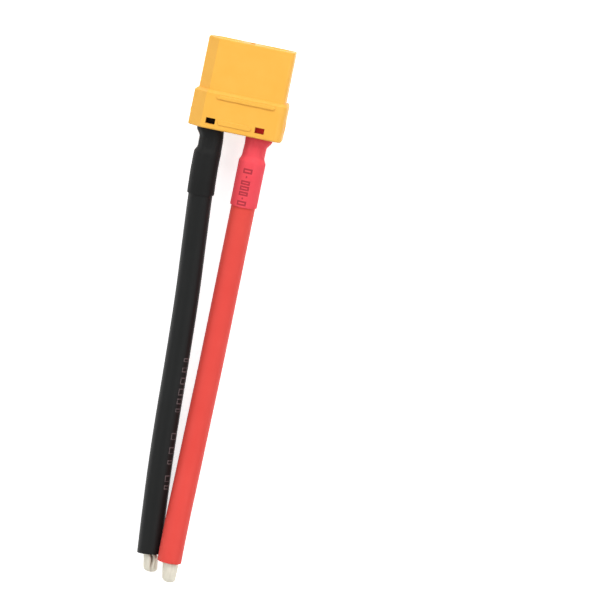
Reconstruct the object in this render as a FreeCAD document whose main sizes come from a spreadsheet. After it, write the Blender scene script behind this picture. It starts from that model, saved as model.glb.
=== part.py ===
import FreeCAD, Part
import Sketcher
import math
import os
import re
from FreeCAD import Placement, Rotation, Vector

# A two-pole battery connector on a pigtail: a moulded socket housing with two gilded
# sockets, each soldered to a silicone wire under heat-shrink sleeving.
# The frame: +Y is the way the plug is pushed in, +X the positive pole's side, +Z up.
# The origin is the middle of the collar's underside, on which the connector lies.
# Sizes are in millimetres. A place is a distance along Y from the collar's middle.

SIZES = (
    # the moulding: a plug that enters the other half, and the collar that stops it
    ("plug_width", 19.4),
    ("plug_thickness", 9.0),
    ("plug_length", 11.55),
    ("plug_corner", 1.0),
    ("plug_chamfer", 2.4),
    ("ledge", 0.8),
    ("collar_length", 8.5),
    ("bevel_depth", 0.6),
    ("bevel_faces", 0.45),
    ("bevel_negative", 0.7),
    ("bevel_positive", 0.25),
    ("mating_edge_round", 0.25),
    ("wire_edge_round", 0.35),
    # the coring slot between the two holes, and the windows into the rear pockets
    ("slot_width", 1.1),
    ("slot_height", 5.6),
    ("slot_depth", 7.0),
    ("window_width", 2.1),
    ("window_length", 1.3),
    ("window_from_wire_face", 1.75),
    ("negative_window_outward", 0.2),
    ("positive_window_inward", 0.05),
    # the two grip ribs on the upper face
    ("front_rib_length", 13.0),
    ("front_rib_width", 0.85),
    ("front_rib_height", 0.35),
    ("front_rib_from_ledge", 1.28),
    ("front_rib_off_centre", 1.3),
    ("rear_rib_length", 7.6),
    ("rear_rib_width", 1.15),
    ("rear_rib_height", 0.22),
    ("rear_rib_off_centre", 0.27),
    ("rib_round", 0.15),
    # the poles: a turned socket with a barbed band, a flange and a solder cup
    ("pole_pitch", 10.9),
    ("socket_bore", 4.5),
    ("socket_outer", 6.0),
    ("socket_depth", 12.85),
    ("socket_recess", 0.2),
    ("socket_edge", 0.25),
    ("barb_length", 0.9),
    ("barb_depth", 0.15),
    ("barb_from_flange", 0.6),
    ("flange_outer", 6.4),
    ("flange_thickness", 0.8),
    ("cup_outer", 5.1),
    ("cup_bore", 4.2),
    ("cup_depth", 3.6),
    ("socket_web", 1.45),
    ("cup_edge", 0.12),
    ("drill_angle", 118.0),
    # the housing's holes around them
    ("hole_clearance", 0.25),
    ("hole_lead_in", 0.3),
    ("web_length", 4.2),
    ("web_clearance", 0.05),
    ("pocket_depth", 3.6),
    ("pocket_clearance", 0.05),
    ("pocket_lead_in", 0.2),
    # the wires and their solder
    ("strands_diameter", 3.4),
    ("insulation_diameter", 5.4),
    ("solder_coat", 0.28),
    ("cup_rim_solder", 0.2),
    ("tip_length", 4.2),
    ("tip_coat", 0.1),
    ("tip_bead", 0.7),
    ("tip_round", 0.9),
    # the heat-shrink sleeves, thickest where they shrank furthest
    ("sleeve_wall_cup", 0.45),
    ("sleeve_wall_neck", 0.46),
    ("sleeve_wall_wire", 0.3),
    ("flare_length", 1.4),
    ("neck_length", 2.4),
    ("shoulder_length", 1.2),
    ("sleeve_end_clearance", 0.05),
    ("negative_sleeve_reach", 14.8),
    ("positive_sleeve_reach", 15.55),
    # solder that lies thicker on the side of a joint that faces the other pole
    ("negative_joint_bulge", 0.22),
    ("positive_joint_bulge", 0.04),
    ("seat_gap", 0.02),
)

# Sizes and places that several pieces share.
SHARED = (
    ("collar_width", "plug_width + 2 * ledge"),
    ("collar_thickness", "plug_thickness + 2 * ledge"),
    ("axis_height", "collar_thickness / 2"),
    ("ledge_place", "collar_length / 2"),
    ("mating_place", "ledge_place + plug_length"),
    ("wire_face_place", "-collar_length / 2"),
    ("seat_place", "wire_face_place + pocket_depth"),
    ("socket_mouth_place", "mating_place - socket_recess"),
    ("bore_end_place", "socket_mouth_place - socket_depth"),
    ("bore_point_place", "bore_end_place - socket_bore / 2 / tan(drill_angle / 2)"),
    ("cup_point_place", "bore_point_place - socket_web"),
    ("cup_end_place", "cup_point_place - cup_bore / 2 / tan(drill_angle / 2)"),
    ("cup_mouth_place", "cup_end_place - cup_depth"),
    ("window_place", "wire_face_place + window_from_wire_face"),
    ("sleeve_start_place", "seat_place - flange_thickness - sleeve_end_clearance"),
    ("neck_start_place", "cup_mouth_place - flare_length"),
    ("neck_end_place", "neck_start_place - neck_length"),
    ("insulation_start_place", "neck_end_place - shoulder_length"),
)

# Each wire's centre line, as rows of: how far it stands from its pole's axis towards the
# other pole, how far behind the collar's wire face, and its height, as a share of the
# way up from lying on the floor to the pole's axis. The first rows lie in the solder cup
# and under the sleeve, and the positive wire's end lies up on the negative one's flank.
NEGATIVE_ROUTE = (
    (0.05, -2.65, 1.0),
    (0.41, 1.35, 1.0),
    (0.30, 8.95, 0.99),
    (0.70, 16.15, 0.76),
    (1.34, 25.9, 0.34),
    (2.20, 37.8, 0.07),
    (2.85, 52.6, 0.0),
    (3.36, 67.9, 0.0),
    (4.20, 82.6, 0.0),
    (5.33, 96.0, 0.0),
)
POSITIVE_ROUTE = (
    (0.05, -2.65, 1.0),
    (0.42, 1.35, 1.0),
    (0.43, 8.95, 0.99),
    (0.43, 16.15, 0.77),
    (0.47, 26.3, 0.34),
    (0.47, 38.5, 0.07),
    (0.49, 53.4, 0.0),
    (0.63, 66.0, 0.0),
    (0.69, 78.0, 0.30),
    (0.80, 88.6, 0.80),
    (0.67, 96.6, 0.95),
)
WIREWARD = Vector(0, -1, 0)
# An arc at a route's point takes this share of the shorter run beside it.
ARC_SHARE = 0.45
BARBS = 3
# Straight-sided rings that stand for each curved taper of a sleeve.
TAPER_STEPS = 5
# How constraints name a sketch's own origin. Its across and up axes are -1 and -2.
ORIGIN_POINT = (-1, 1)

os.makedirs("parts", exist_ok=True)
doc = FreeCAD.newDocument("battery_pigtail")
sheet = doc.addObject("Spreadsheet::Sheet", "sizes")
for row, (alias, number) in enumerate(SIZES, start=1):
    sheet.set("A%d" % row, alias)
    sheet.set("B%d" % row, str(number))
    sheet.setAlias("B%d" % row, alias)
for row, (alias, formula) in enumerate(SHARED, start=len(SIZES) + 1):
    sheet.set("A%d" % row, alias)
    sheet.set("B%d" % row, "=" + formula)
    sheet.setAlias("B%d" % row, alias)
doc.recompute()

ALIASES = {alias for alias, _ in SIZES + SHARED}


def size(formula):
    """The number that a formula of the sheet's sizes comes to."""
    return float(sheet.evalExpression(formula))


def bind(thing, place, formula):
    """Ties a property to a formula of the sheet's sizes."""
    tied = re.sub(r"[a-z]\w+", lambda m: "sizes." + m[0] if m[0] in ALIASES else m[0], formula)
    thing.setExpression(place, tied)


def own_plane(body, role):
    """One of a body's own origin planes, or its axis."""
    return next(o for o in body.Origin.OriginFeatures if o.Role == role)


def new_sketch(body, name, role, **offsets):
    """A sketch on one of the body's origin planes, moved within and off it by formulas."""
    sketch = body.newObject("Sketcher::SketchObject", name)
    sketch.AttachmentSupport = [(own_plane(body, role), "")]
    sketch.MapMode = "FlatFace"
    for axis, formula in offsets.items():
        bind(sketch, "AttachmentOffset.Base." + axis, formula)
    return sketch


def dimension(sketch, name, kind, first, second, formula):
    """A named, signed distance or radius in a sketch, tied to a formula."""
    number = size(formula)
    if number < 0:
        first, second, number, formula = second, first, -number, "-(%s)" % formula
    index = sketch.addConstraint(Sketcher.Constraint(kind, *first, *second, number))
    sketch.renameConstraint(index, name)
    bind(sketch, "Constraints." + name, formula)


def line_loop(sketch, points):
    """Straight edges through the points and back to the first, joined end to end."""
    count = len(points)
    for i, start in enumerate(points):
        end = points[(i + 1) % count]
        sketch.addGeometry(Part.LineSegment(Vector(*start, 0), Vector(*end, 0)), False)
    for i in range(count):
        sketch.addConstraint(Sketcher.Constraint("Coincident", i, 2, (i + 1) % count, 1))


def turned_outline(sketch, corners):
    """A closed half section beside the sketch's up axis. Each corner is a pair of formulas:
    its radius and its place along the axis. Neighbours that share one are set square."""
    line_loop(sketch, [(size(radius), size(place)) for radius, place in corners])
    for i, (radius, place) in enumerate(corners):
        before = corners[i - 1] if i else (None, None)
        if radius == "0":
            sketch.addConstraint(Sketcher.Constraint("PointOnObject", i, 1, -2))
        elif radius == before[0]:
            sketch.addConstraint(Sketcher.Constraint("Vertical", i - 1))
        else:
            dimension(sketch, "radius_%d" % i, "DistanceX", ORIGIN_POINT, (i, 1), radius)
        if place == before[1]:
            sketch.addConstraint(Sketcher.Constraint("Horizontal", i - 1))
        else:
            dimension(sketch, "place_%d" % i, "DistanceY", ORIGIN_POINT, (i, 1), place)


def box_outline(sketch, width, height):
    """A rectangle centred on the sketch's origin."""
    half_width, half_height = size(width) / 2, size(height) / 2
    line_loop(sketch, (
        (-half_width, -half_height),
        (half_width, -half_height),
        (half_width, half_height),
        (-half_width, half_height),
    ))
    sketch.addConstraint(Sketcher.Constraint("Horizontal", 0))
    sketch.addConstraint(Sketcher.Constraint("Horizontal", 2))
    sketch.addConstraint(Sketcher.Constraint("Vertical", 1))
    sketch.addConstraint(Sketcher.Constraint("Vertical", 3))
    sketch.addConstraint(Sketcher.Constraint("Symmetric", 0, 1, 2, 1, *ORIGIN_POINT))
    dimension(sketch, "full_width", "DistanceX", (0, 1), (0, 2), width)
    dimension(sketch, "full_height", "DistanceY", (1, 1), (1, 2), height)


def rib_outline(sketch, length, width):
    """A straight rib with round ends, along the sketch's across axis and centred on it."""
    half, radius = (size(length) - size(width)) / 2, size(width) / 2
    quarter = math.pi / 2
    right = Part.Circle(Vector(half, 0, 0), Vector(0, 0, 1), radius)
    left = Part.Circle(Vector(-half, 0, 0), Vector(0, 0, 1), radius)
    for edge in (
        Part.LineSegment(Vector(-half, -radius, 0), Vector(half, -radius, 0)),
        Part.ArcOfCircle(right, -quarter, quarter),
        Part.LineSegment(Vector(half, radius, 0), Vector(-half, radius, 0)),
        Part.ArcOfCircle(left, quarter, 3 * quarter),
    ):
        sketch.addGeometry(edge, False)
    for i in range(4):
        sketch.addConstraint(Sketcher.Constraint("Tangent", i, 2, (i + 1) % 4, 1))
    sketch.addConstraint(Sketcher.Constraint("Horizontal", 0))
    sketch.addConstraint(Sketcher.Constraint("Symmetric", 1, 3, 3, 3, *ORIGIN_POINT))
    dimension(sketch, "end_radius", "Radius", (1,), (), "%s / 2" % width)
    dimension(sketch, "straight", "DistanceX", (0, 1), (0, 2), "%s - %s" % (length, width))


def housing_outline(body, name, place, negative_half, positive_half, half_height, corner, chamfer):
    """The housing's section across the mating axis: round corners on the positive side,
    and two chamfers on the negative side, which let it mate one way only."""
    sketch = new_sketch(body, name, "XZ_Plane", y="axis_height", z="-(%s)" % place)
    left, right = size(negative_half), size(positive_half)
    high, cut, turn = size(half_height), size(chamfer), size(corner)
    low_turn = Part.Circle(Vector(right - turn, turn - high, 0), Vector(0, 0, 1), turn)
    high_turn = Part.Circle(Vector(right - turn, high - turn, 0), Vector(0, 0, 1), turn)
    for edge in (
        Part.LineSegment(Vector(cut - left, -high, 0), Vector(right - turn, -high, 0)),
        Part.ArcOfCircle(low_turn, -math.pi / 2, 0),
        Part.LineSegment(Vector(right, turn - high, 0), Vector(right, high - turn, 0)),
        Part.ArcOfCircle(high_turn, 0, math.pi / 2),
        Part.LineSegment(Vector(right - turn, high, 0), Vector(cut - left, high, 0)),
        Part.LineSegment(Vector(cut - left, high, 0), Vector(-left, high - cut, 0)),
        Part.LineSegment(Vector(-left, high - cut, 0), Vector(-left, cut - high, 0)),
        Part.LineSegment(Vector(-left, cut - high, 0), Vector(cut - left, -high, 0)),
    ):
        sketch.addGeometry(edge, False)
    for i in (0, 1, 2, 3):
        sketch.addConstraint(Sketcher.Constraint("Tangent", i, 2, i + 1, 1))
    for i in (4, 5, 6, 7):
        sketch.addConstraint(Sketcher.Constraint("Coincident", i, 2, (i + 1) % 8, 1))
    sketch.addConstraint(Sketcher.Constraint("Horizontal", 0))
    sketch.addConstraint(Sketcher.Constraint("Horizontal", 4))
    sketch.addConstraint(Sketcher.Constraint("Equal", 1, 3))
    for upright in (2, 6):
        sketch.addConstraint(Sketcher.Constraint("Symmetric", upright, 1, upright, 2, -1))
    dimension(sketch, "negative_half", "DistanceX", (6, 1), ORIGIN_POINT, negative_half)
    dimension(sketch, "positive_half", "DistanceX", ORIGIN_POINT, (2, 1), positive_half)
    dimension(sketch, "half_height", "DistanceY", ORIGIN_POINT, (4, 1), half_height)
    dimension(sketch, "corner", "Radius", (1,), (), corner)
    dimension(sketch, "chamfer_across", "DistanceX", (5, 2), (5, 1), chamfer)
    dimension(sketch, "chamfer_down", "DistanceY", (5, 2), (5, 1), chamfer)
    dimension(sketch, "low_chamfer", "DistanceX", (7, 1), (7, 2), chamfer)
    return sketch


def pad(body, name, sketch, length):
    feature = body.newObject("PartDesign::Pad", name)
    feature.Profile = sketch
    bind(feature, "Length", length)
    return feature


def edges_where(feature, holds):
    """The names of the edges of a feature all of whose corners satisfy a test."""
    doc.recompute()
    return [
        "Edge%d" % i
        for i, edge in enumerate(feature.Shape.Edges, start=1)
        if all(holds(corner.Point) for corner in edge.Vertexes)
    ]


def rounded(body, name, base, radius, holds):
    feature = body.newObject("PartDesign::Fillet", name)
    feature.Base = (base, edges_where(base, holds))
    bind(feature, "Radius", radius)
    return feature


def housing():
    """The moulded housing. The other half's shell slides over the plug and meets the
    ledge, so the collar's section is the plug's, grown by the ledge on every side."""
    body = doc.addObject("PartDesign::Body", "housing")
    grown_chamfer = "plug_chamfer + ledge * (2 - sqrt(2))"
    collar_face = housing_outline(
        body, "collar_outline", "ledge_place - bevel_depth", "collar_width / 2",
        "collar_width / 2", "collar_thickness / 2", "plug_corner + ledge", grown_chamfer)
    bevel_top = housing_outline(
        body, "bevel_outline", "ledge_place", "collar_width / 2 - bevel_negative",
        "collar_width / 2 - bevel_positive", "collar_thickness / 2 - bevel_faces",
        "plug_corner + ledge - bevel_faces",
        grown_chamfer + " - bevel_negative * (2 - sqrt(2))")
    plug_face = housing_outline(
        body, "plug_outline", "mating_place", "plug_width / 2", "plug_width / 2",
        "plug_thickness / 2", "plug_corner", "plug_chamfer")
    pad(body, "collar", collar_face, "collar_length - bevel_depth")
    bevel = body.newObject("PartDesign::AdditiveLoft", "collar_bevel")
    bevel.Profile = collar_face
    bevel.Sections = [bevel_top]
    bevel.Ruled = True
    plug = pad(body, "plug", plug_face, "plug_length")
    mating, wire_face = size("mating_place"), size("wire_face_place")
    mating_round = rounded(
        body, "mating_edges", plug, "mating_edge_round", lambda p: abs(p.y - mating) < 1e-6)
    rounded(
        body, "wire_edges", mating_round, "wire_edge_round", lambda p: abs(p.y - wire_face) < 1e-6)

    # The hole for a pole: open round the socket in front, a web that grips its barbs, and
    # behind the web the pocket that takes its flange and the end of the sleeve.
    hole_section = new_sketch(body, "hole_section", "XY_Plane", x="pole_pitch / 2", z="axis_height")
    front_radius = "socket_outer / 2 + hole_clearance"
    web_radius = "socket_outer / 2 + web_clearance"
    pocket_radius = "flange_outer / 2 + pocket_clearance"
    turned_outline(hole_section, (
        ("0", "mating_place"),
        (front_radius + " + hole_lead_in", "mating_place"),
        (front_radius, "mating_place - hole_lead_in"),
        (front_radius, "seat_place + web_length"),
        (web_radius, "seat_place + web_length"),
        (web_radius, "seat_place"),
        (pocket_radius, "seat_place"),
        (pocket_radius, "wire_face_place + pocket_lead_in"),
        (pocket_radius + " + pocket_lead_in", "wire_face_place"),
        ("0", "wire_face_place"),
    ))
    hole = body.newObject("PartDesign::Groove", "positive_hole")
    hole.Profile = hole_section
    hole.ReferenceAxis = (hole_section, ["V_Axis"])
    hole.Angle = 360
    both = body.newObject("PartDesign::Mirrored", "negative_hole")
    both.Originals = [hole]
    both.MirrorPlane = (own_plane(body, "YZ_Plane"), [""])
    body.Tip = both

    # Each pocket shows through a window in the upper face and one in the lower face.
    for pole, across in (("negative", "-(pole_pitch / 2 + negative_window_outward)"),
                         ("positive", "pole_pitch / 2 - positive_window_inward")):
        window_outline = new_sketch(
            body, pole + "_window_outline", "XY_Plane", x=across, y="window_place")
        box_outline(window_outline, "window_width", "window_length")
        windows = body.newObject("PartDesign::Pocket", pole + "_windows")
        windows.Profile = window_outline
        windows.Type = "ThroughAll"
        windows.Reversed = True

    # Coring between the holes keeps the walls even in thickness.
    slot_outline = new_sketch(
        body, "slot_outline", "XZ_Plane", y="axis_height", z="-mating_place")
    box_outline(slot_outline, "slot_width", "slot_height")
    slot = body.newObject("PartDesign::Pocket", "coring_slot")
    slot.Profile = slot_outline
    slot.Reversed = True
    bind(slot, "Length", "slot_depth")

    # Low ribs on the upper face give the fingers a hold when the halves are pulled apart.
    front_rib = new_sketch(
        body, "front_rib_outline", "XY_Plane", x="front_rib_off_centre",
        y="ledge_place - front_rib_from_ledge", z="collar_thickness")
    rib_outline(front_rib, "front_rib_length", "front_rib_width")
    front = pad(body, "front_rib", front_rib, "front_rib_height")
    front_top = size("collar_thickness + front_rib_height")
    front_round = rounded(
        body, "front_rib_edge", front, "rib_round", lambda p: abs(p.z - front_top) < 1e-6)
    rear_rib = new_sketch(
        body, "rear_rib_outline", "XY_Plane", x="-rear_rib_off_centre", y="window_place",
        z="collar_thickness")
    rib_outline(rear_rib, "rear_rib_length", "rear_rib_width")
    rear = pad(body, "rear_rib", rear_rib, "rear_rib_height")
    rear_top = size("collar_thickness + rear_rib_height")
    body.Tip = rounded(
        body, "rear_rib_edge", rear, "rib_round", lambda p: abs(p.z - rear_top) < 1e-6)
    return body


def socket(name, side):
    """A turned brass socket. It is pushed in from the wire side until its flange meets
    the web, and its barbs keep it there. The wire is soldered into the cup behind."""
    body = doc.addObject("PartDesign::Body", name)
    section = new_sketch(body, name + "_section", "XY_Plane")
    outer, bore, cup = "socket_outer / 2", "socket_bore / 2", "cup_bore / 2"
    corners = [
        ("0", "bore_point_place"),
        (bore, "bore_end_place"),
        (bore, "socket_mouth_place - socket_edge"),
        (bore + " + socket_edge", "socket_mouth_place"),
        (outer + " - socket_edge", "socket_mouth_place"),
        (outer, "socket_mouth_place - socket_edge"),
    ]
    for barb in range(BARBS, 0, -1):
        front = "seat_place + barb_from_flange + %d * barb_length" % barb
        corners += [(outer, front), (outer + " - barb_depth", front)]
    corners += [
        (outer, "seat_place + barb_from_flange"),
        (outer, "seat_place"),
        ("flange_outer / 2", "seat_place"),
        ("flange_outer / 2", "seat_place - flange_thickness"),
        ("cup_outer / 2", "seat_place - flange_thickness"),
        ("cup_outer / 2", "cup_mouth_place + cup_edge"),
        ("cup_outer / 2 - cup_edge", "cup_mouth_place"),
        (cup, "cup_mouth_place"),
        (cup, "cup_end_place"),
        ("0", "cup_point_place"),
    ]
    turned_outline(section, corners)
    turned = body.newObject("PartDesign::Revolution", name + "_turned")
    turned.Profile = section
    turned.ReferenceAxis = (section, ["V_Axis"])
    turned.Angle = 360
    bind(body, "Placement.Base.x", "%d * pole_pitch / 2" % side)
    bind(body, "Placement.Base.z", "axis_height")
    return body


def route_points(side, rows):
    floor, axis = size("insulation_diameter / 2"), size("axis_height")
    wire_face, pole = size("wire_face_place"), size("pole_pitch / 2")
    return [
        Vector(side * (pole - inward), wire_face - behind, floor + (axis - floor) * lift)
        for inward, behind, lift in rows
    ]


def route_edges(name, points):
    """Straight runs joined by tangent arcs, each as large as its two runs allow."""
    edges, radii = [], []
    start = points[0]
    for before, point, after in zip(points, points[1:], points[2:]):
        inward, outward = point - before, after - point
        half_turn = inward.getAngle(outward) / 2
        take = ARC_SHARE * min(inward.Length, outward.Length)
        inward.normalize()
        outward.normalize()
        radius = take / math.tan(half_turn)
        radii.append(radius)
        arc_start, arc_end = point - inward * take, point + outward * take
        middle = (outward - inward).normalize() * (radius / math.cos(half_turn) - radius)
        edges.append(Part.LineSegment(start, arc_start).toShape())
        edges.append(Part.Arc(arc_start, point + middle, arc_end).toShape())
        start = arc_end
    edges.append(Part.LineSegment(start, points[-1]).toShape())
    print(name, "route radii", [round(radius, 1) for radius in radii])
    return edges


def at_place(edge, place):
    """The parameter at which an edge of a route passes a place along Y."""
    low, high = edge.FirstParameter, edge.LastParameter
    for _ in range(60):
        middle = (low + high) / 2
        if edge.valueAt(middle).y > place:
            low = middle
        else:
            high = middle
    return low


def edges_behind(edges, place):
    """The stretch of a route that lies behind a place."""
    kept = [edge for edge in edges if edge.valueAt(edge.LastParameter).y < place]
    cut = at_place(kept[0], place)
    return [kept[0].Curve.toShape(cut, kept[0].LastParameter)] + kept[1:]


def station(edges, place):
    """A route's point and direction at a place along Y."""
    edge = edges_behind(edges, place)[0]
    along = edge.tangentAt(edge.FirstParameter)
    return edge.valueAt(edge.FirstParameter), along


def swept(name, edges, diameter):
    """A round bar along a route, checked against its section times its length."""
    spine = doc.addObject("Part::Feature", name + "_route")
    spine.Shape = Part.Wire(edges)
    first = edges[0]
    along = first.tangentAt(first.FirstParameter)
    ring = doc.addObject("Part::Circle", name + "_ring")
    bind(ring, "Radius", "(%s) / 2" % diameter)
    ring.Placement = Placement(
        first.valueAt(first.FirstParameter), Rotation(Vector(0, 0, 1), along))
    bar = doc.addObject("Part::Sweep", name)
    bar.Sections = [ring]
    bar.Spine = (spine, [])
    bar.Solid = True
    bar.Frenet = False
    doc.recompute()
    expected = math.pi * (size(diameter) / 2) ** 2 * spine.Shape.Length
    print(name, "volume over section times length", round(bar.Shape.Volume / expected, 4))
    return bar


def difference(name, base, tool):
    cut = doc.addObject("Part::Cut", name)
    cut.Base = base
    cut.Tool = tool
    return cut


def tinned_end(name, edges):
    """The solder that the stripped strands were dipped in, as a coat with a round bead."""
    body = doc.addObject("PartDesign::Body", name)
    section = new_sketch(body, name + "_section", "XY_Plane")
    core, coat = "strands_diameter / 2 + seat_gap", "strands_diameter / 2 + tip_coat"
    turned_outline(section, (
        ("0", "tip_length - tip_bead"),
        (core, "tip_length - tip_bead"),
        (core, "seat_gap"),
        (coat, "seat_gap"),
        (coat, "tip_length"),
        ("0", "tip_length"),
    ))
    turned = body.newObject("PartDesign::Revolution", name + "_turned")
    turned.Profile = section
    turned.ReferenceAxis = (section, ["V_Axis"])
    turned.Angle = 360
    tip = size("tip_length")
    core_radius = size(core)
    rounded(
        body, name + "_round", turned, "tip_round",
        lambda p: abs(p.y - tip) < 1e-6 and math.hypot(p.x, p.z) > core_radius)
    last = edges[-1]
    along = last.tangentAt(last.LastParameter)
    body.Placement = Placement(
        last.valueAt(last.LastParameter), Rotation(Vector(0, 1, 0), along))
    return body


def smooth(share):
    """A step from 0 to 1 that starts and ends level."""
    return share * share * (3 - 2 * share)


def ring_at(centre, along, radius):
    """A circle across a wire, its seam at the same side whichever way the wire leans."""
    ring = Part.Wire([Part.Circle(Vector(), WIREWARD, radius).toShape()])
    ring.Placement = Placement(centre, Rotation(WIREWARD, along))
    return ring


def flare_rings(side, edges, cup_radius, neck_radius, bulge):
    """Rings from the cup's rim, on the pole's axis, in to the neck, on the strands' own line
    and wider by the bulge on the side that faces the other pole."""
    mouth, neck = size("cup_mouth_place"), size("neck_start_place")
    pole, height = side * size("pole_pitch") / 2, size("axis_height")
    rings = []
    for step in range(TAPER_STEPS + 1):
        share = smooth(step / TAPER_STEPS)
        place = mouth + (neck - mouth) * step / TAPER_STEPS
        on_pole = Vector(pole, place, height)
        on_route, along = station(edges, place)
        centre = on_pole + (on_route - on_pole - Vector(side * bulge, 0, 0)) * share
        radius = cup_radius + (neck_radius + bulge - cup_radius) * share
        rings.append(ring_at(centre, WIREWARD + (along - WIREWARD) * share, radius))
    return rings


def shoulder_rings(side, edges, neck_radius, wire_radius, end, bulge):
    """Rings from the neck's end over the insulation's edge, and on along the wire."""
    neck_end, wire = size("neck_end_place"), size("insulation_start_place")
    rings = []
    for step in range(TAPER_STEPS + 1):
        share = smooth(step / TAPER_STEPS)
        radius = neck_radius + bulge + (wire_radius - neck_radius - bulge) * share
        centre, along = station(edges, neck_end + (wire - neck_end) * step / TAPER_STEPS)
        rings.append(ring_at(centre - Vector(side * bulge * (1 - share), 0, 0), along, radius))
    for step in range(1, TAPER_STEPS + 1):
        place = wire + (end - wire) * step / TAPER_STEPS
        rings.append(ring_at(*station(edges, place), wire_radius))
    return rings


def plain_piece(name, shape):
    """A sub-part whose form is worked out along a wire's route."""
    feature = doc.addObject("Part::Feature", name)
    feature.Shape = shape
    feature.Placement = Placement()
    return feature


def sleeve(name, side, edges, reach, bulge):
    """Heat-shrink sleeving: tight on the solder cup, drawn in on the soldered strands
    behind it, and tight again on the insulation. It starts inside the rear pocket."""
    gap = size("seat_gap")
    start = Vector(side * size("pole_pitch") / 2, size("sleeve_start_place"), size("axis_height"))
    end = size("wire_face_place") - reach
    skins = []
    for walls in ((size("sleeve_wall_cup"), size("sleeve_wall_neck"), size("sleeve_wall_wire")),
                  (0, 0, 0)):
        on_cup = size("cup_outer / 2") + gap + walls[0]
        on_strands = size("strands_diameter / 2 + solder_coat") + gap + walls[1]
        on_wire = size("insulation_diameter / 2") + gap + walls[2]
        rings = [ring_at(start, WIREWARD, on_cup)]
        rings += flare_rings(side, edges, on_cup, on_strands, bulge)
        rings += shoulder_rings(side, edges, on_strands, on_wire, end, bulge)
        skins.append(Part.makeLoft(rings, True, True))
    return plain_piece(name, skins[0].cut(skins[1]))


def cup_solder(name, side, edges, strands, bulge):
    """Solder that fills the cup round the strands, rises to a cone over its rim and
    wicks along the strands to the insulation."""
    gap = size("seat_gap")
    on_strands = size("strands_diameter / 2 + solder_coat")
    rings = flare_rings(side, edges, size("cup_outer / 2 - cup_rim_solder"), on_strands, bulge)
    centre, along = station(edges, size("neck_end_place"))
    rings.append(ring_at(centre - Vector(side * bulge, 0, 0), along, on_strands + bulge))
    bottom = size("cup_end_place") - gap
    start = Vector(side * size("pole_pitch") / 2, bottom, size("axis_height"))
    fill = Part.makeCylinder(
        size("cup_bore / 2") - gap, bottom - size("cup_mouth_place"), start, WIREWARD)
    return plain_piece(name, fill.fuse(Part.makeLoft(rings, True, True)).cut(strands.Shape))


def wire(pole, side, rows, reach, bulge):
    """A pole's wire: strands from the cup to the bare end, insulation from the sleeve's
    shoulder on, the solder at both ends, and the sleeve."""
    edges = route_edges(pole, route_points(side, rows))
    last = edges[-1]
    end, along = last.valueAt(last.LastParameter), last.tangentAt(last.LastParameter)
    bare = size("tip_length - tip_bead - seat_gap")
    strands = swept(
        pole + "_strands", edges + [Part.LineSegment(end, end + along * bare).toShape()],
        "strands_diameter")
    covered = edges_behind(edges, size("insulation_start_place"))
    insulation = difference(
        pole + "_insulation",
        swept(pole + "_insulation_outside", covered, "insulation_diameter"),
        swept(pole + "_insulation_inside", covered, "strands_diameter + 2 * seat_gap"))
    return [
        strands,
        insulation,
        tinned_end(pole + "_tinned_end", edges),
        cup_solder(pole + "_solder", side, edges, strands, bulge),
        sleeve(pole + "_sleeve", side, edges, reach, bulge),
    ]


nodes = [housing()]
for pole, side, rows in (("negative", -1, NEGATIVE_ROUTE), ("positive", 1, POSITIVE_ROUTE)):
    nodes.append(socket(pole + "_socket", side))
    nodes.extend(wire(
        pole, side, rows, size(pole + "_sleeve_reach"), size(pole + "_joint_bulge")))
doc.recompute()

for thing in doc.Objects:
    failed = [state for state in thing.State if state in ("Invalid", "Error")]
    if failed:
        raise RuntimeError("%s is %s" % (thing.Name, ", ".join(failed)))
for node in nodes:
    node.Label = node.Name
    if node.Shape.isNull() or not node.Shape.isValid() or len(node.Shape.Solids) != 1:
        raise RuntimeError("%s has no single valid solid" % node.Label)
    node.Shape.exportStep("parts/%s.step" % node.Label)
    lowest = node.Shape.optimalBoundingBox(False, False).ZMin
    print("%-24s %8.2f mm3, z from %.3f" % (node.Label, node.Shape.Volume, lowest))
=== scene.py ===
import bpy
import bmesh
import math
from mathutils import Matrix, Vector, noise


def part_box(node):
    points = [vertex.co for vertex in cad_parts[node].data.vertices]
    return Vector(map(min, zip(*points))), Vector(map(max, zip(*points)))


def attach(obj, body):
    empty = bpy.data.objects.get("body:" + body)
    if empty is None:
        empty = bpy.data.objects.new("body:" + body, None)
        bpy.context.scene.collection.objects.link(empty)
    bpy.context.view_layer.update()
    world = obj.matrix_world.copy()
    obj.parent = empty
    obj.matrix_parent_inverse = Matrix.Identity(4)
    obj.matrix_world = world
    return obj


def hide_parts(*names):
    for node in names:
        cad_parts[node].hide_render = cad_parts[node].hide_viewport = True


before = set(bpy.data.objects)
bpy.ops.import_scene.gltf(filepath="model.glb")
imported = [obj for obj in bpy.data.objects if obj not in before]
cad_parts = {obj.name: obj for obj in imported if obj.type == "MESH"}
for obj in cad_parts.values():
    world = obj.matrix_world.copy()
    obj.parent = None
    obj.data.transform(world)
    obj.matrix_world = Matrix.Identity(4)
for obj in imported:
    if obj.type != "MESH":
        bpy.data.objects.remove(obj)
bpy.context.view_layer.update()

# The scene follows the CAD frame: +Y is the way the plug is pushed in, +X the positive
# pole's side, +Z up, and the collar's underside lies on the floor. Lengths are in metres.


# Housing
# Glass-filled nylon, injection moulded in one piece in the yellow that this kind comes in.
# The mould is spark-eroded, so its faces have a fine satin grain and its edges catch light.

MM = 0.001


def linear(sheet_hex):
    """An sRGB hex colour as the linear colour that a shader takes."""
    parts = [int(sheet_hex[i:i + 2], 16) / 255 for i in (1, 3, 5)]
    return [p / 12.92 if p <= 0.04045 else ((p + 0.055) / 1.055) ** 2.4 for p in parts] + [1]


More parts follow.
